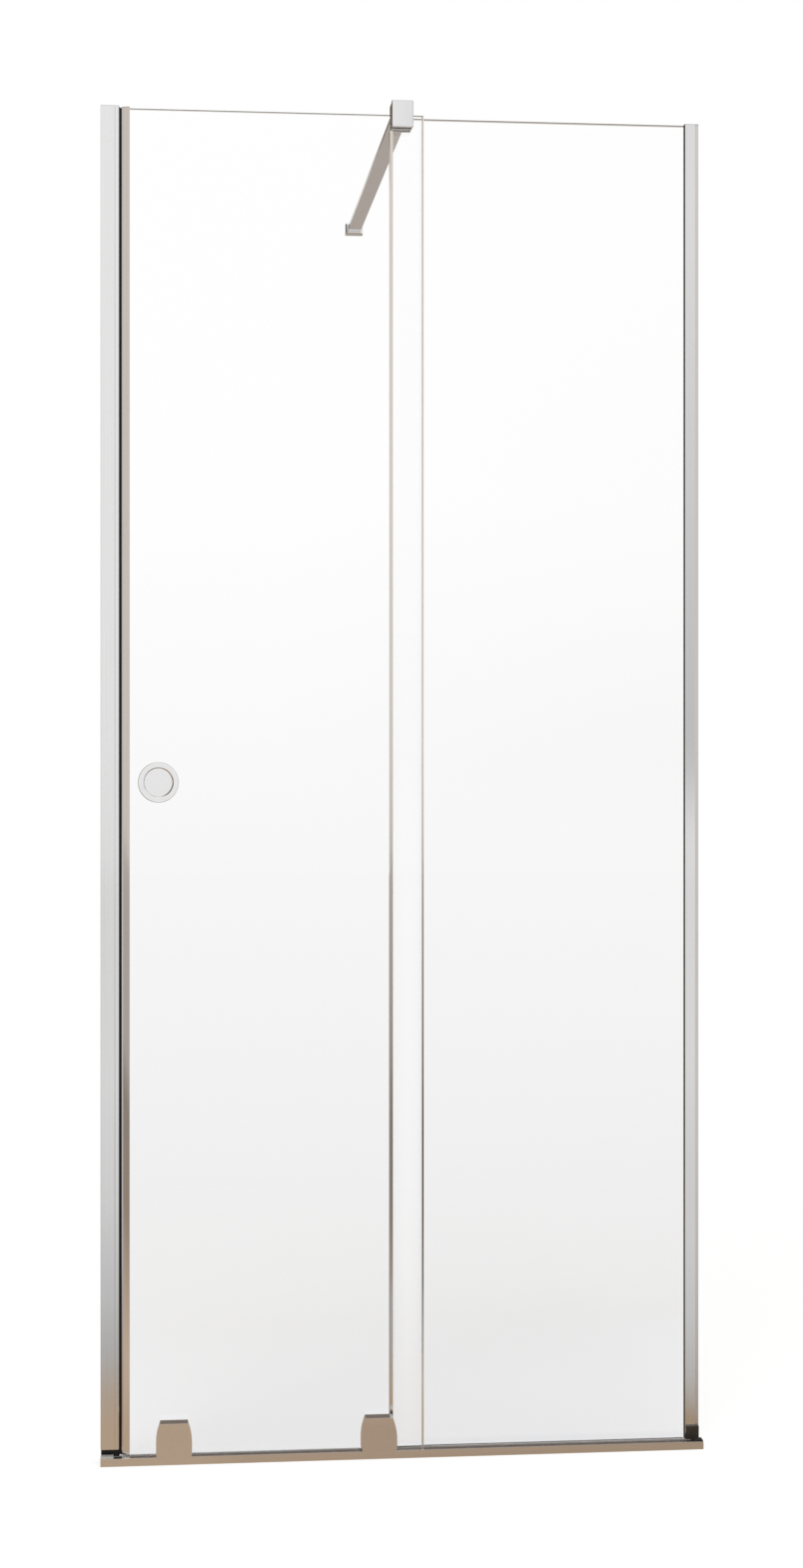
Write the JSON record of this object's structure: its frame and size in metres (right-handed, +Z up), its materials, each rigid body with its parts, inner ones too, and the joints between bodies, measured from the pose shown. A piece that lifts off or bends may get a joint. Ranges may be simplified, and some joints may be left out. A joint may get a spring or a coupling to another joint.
{
  "type": "sliding shower door",
  "caption": "Framed glass shower door: a pane on bottom rollers slides from a wall profile to behind a bar-braced clamp, in front of a fixed pane.",
  "frame": {"origin": "middle of the bottom rail's underside, where it stands on the shower tray", "axes": "+X along the rail to the opened side, +Y from the room into the shower, +Z up"},
  "size_m": [0.9, 0.912, 2.0187],
  "materials": {
    "polished_profile": "bright polished and chromed aluminium extrusion",
    "plain_aluminium": "mill finish aluminium extrusion",
    "polished_cap": "chromed plastic",
    "chrome_casting": "polished chrome on a metal casting",
    "chrome_bar": "polished chrome on a drawn steel bar",
    "chrome_shell": "chromed plastic shell",
    "door_pane": "clear toughened glass with polished edges",
    "fixed_pane": "clear toughened glass with polished edges",
    "black_seal": "matt black rubber",
    "black_plastic": "black moulded plastic",
    "grey_plastic": "pale grey moulded plastic",
    "clear_seal": "translucent soft seal",
    "guide_plastic": "natural white nylon",
    "roller_plastic": "white acetal",
    "screw_steel": "plain stainless steel"
  },
  "bodies": {
    "frame": {"bottom_rail": "polished_profile", "rail_stop_left": "grey_plastic", "rail_stop_right": "black_plastic", "left_strike_profile": "polished_profile", "left_wall_channel": "plain_aluminium", "strike_seal": "black_seal", "left_profile_foot": "black_plastic", "left_top_cap": "polished_cap", "right_glazing_profile": "polished_profile", "right_wall_channel": "plain_aluminium", "right_top_cap": "polished_cap", "right_profile_foot": "black_plastic", "profile_lock_screws": "screw_steel", "glazing_gasket": "black_seal", "bottom_glazing_gasket": "clear_seal", "fixed_glass": "fixed_pane", "fixed_edge_strip": "polished_profile", "guide_clamp_body": "chrome_casting", "guide_clamp_cover": "chrome_casting", "door_guide_insert": "guide_plastic", "clamp_pads": "black_seal", "clamp_set_screws": "screw_steel", "support_bar": "chrome_bar", "bar_wall_flange": "chrome_casting", "bar_lock_screws": "screw_steel"},
    "door": {"door_glass": "door_pane", "door_closing_profile": "polished_profile", "closing_profile_cap": "polished_cap", "door_magnet_seal": "black_seal", "door_trailing_strip": "polished_profile", "door_drip_seal": "clear_seal", "handle_front_cup": "chrome_casting", "handle_rear_cup": "chrome_casting", "handle_washers": "clear_seal", "handle_sleeve": "clear_seal", "carriage_cover_left": "chrome_shell", "carriage_body_left": "black_plastic", "carriage_back_plate_left": "chrome_casting", "roller_axles_left": "screw_steel", "carriage_cover_right": "chrome_shell", "carriage_body_right": "black_plastic", "carriage_back_plate_right": "chrome_casting", "roller_axles_right": "screw_steel", "carriage_screws": "screw_steel", "carriage_bushes": "guide_plastic", "carriage_gaskets": "clear_seal"},
    "roller_left_front": {"roller_tyre_left_front": "roller_plastic", "roller_hub_left_front": "screw_steel"},
    "roller_left_rear": {"roller_tyre_left_rear": "roller_plastic", "roller_hub_left_rear": "screw_steel"},
    "roller_right_front": {"roller_tyre_right_front": "roller_plastic", "roller_hub_right_front": "screw_steel"},
    "roller_right_rear": {"roller_tyre_right_rear": "roller_plastic", "roller_hub_right_rear": "screw_steel"}
  },
  "joints": [
    {"name": "door_slide", "type": "slide", "parent": "frame", "child": "door", "axis": [1, 0, 0], "range_m": [0, 0.385]},
    {"name": "roller_left_front_spin", "type": "hinge", "parent": "door", "child": "roller_left_front", "pos_m": [-0.3554, -0.016, 0.0182], "axis": [0, 1, 0], "continuous": true},
    {"name": "roller_left_rear_spin", "type": "hinge", "parent": "door", "child": "roller_left_rear", "pos_m": [-0.3294, -0.016, 0.0182], "axis": [0, 1, 0], "continuous": true},
    {"name": "roller_right_front_spin", "type": "hinge", "parent": "door", "child": "roller_right_front", "pos_m": [-0.0524, -0.016, 0.0182], "axis": [0, 1, 0], "continuous": true},
    {"name": "roller_right_rear_spin", "type": "hinge", "parent": "door", "child": "roller_right_rear", "pos_m": [-0.0264, -0.016, 0.0182], "axis": [0, 1, 0], "continuous": true}
  ],
  "couplings": [
    {"joint": "roller_left_front_spin", "follows": "door_slide", "rad_per_m": 111.11},
    {"joint": "roller_left_rear_spin", "follows": "door_slide", "rad_per_m": 111.11},
    {"joint": "roller_right_front_spin", "follows": "door_slide", "rad_per_m": 111.11},
    {"joint": "roller_right_rear_spin", "follows": "door_slide", "rad_per_m": 111.11}
  ]
}
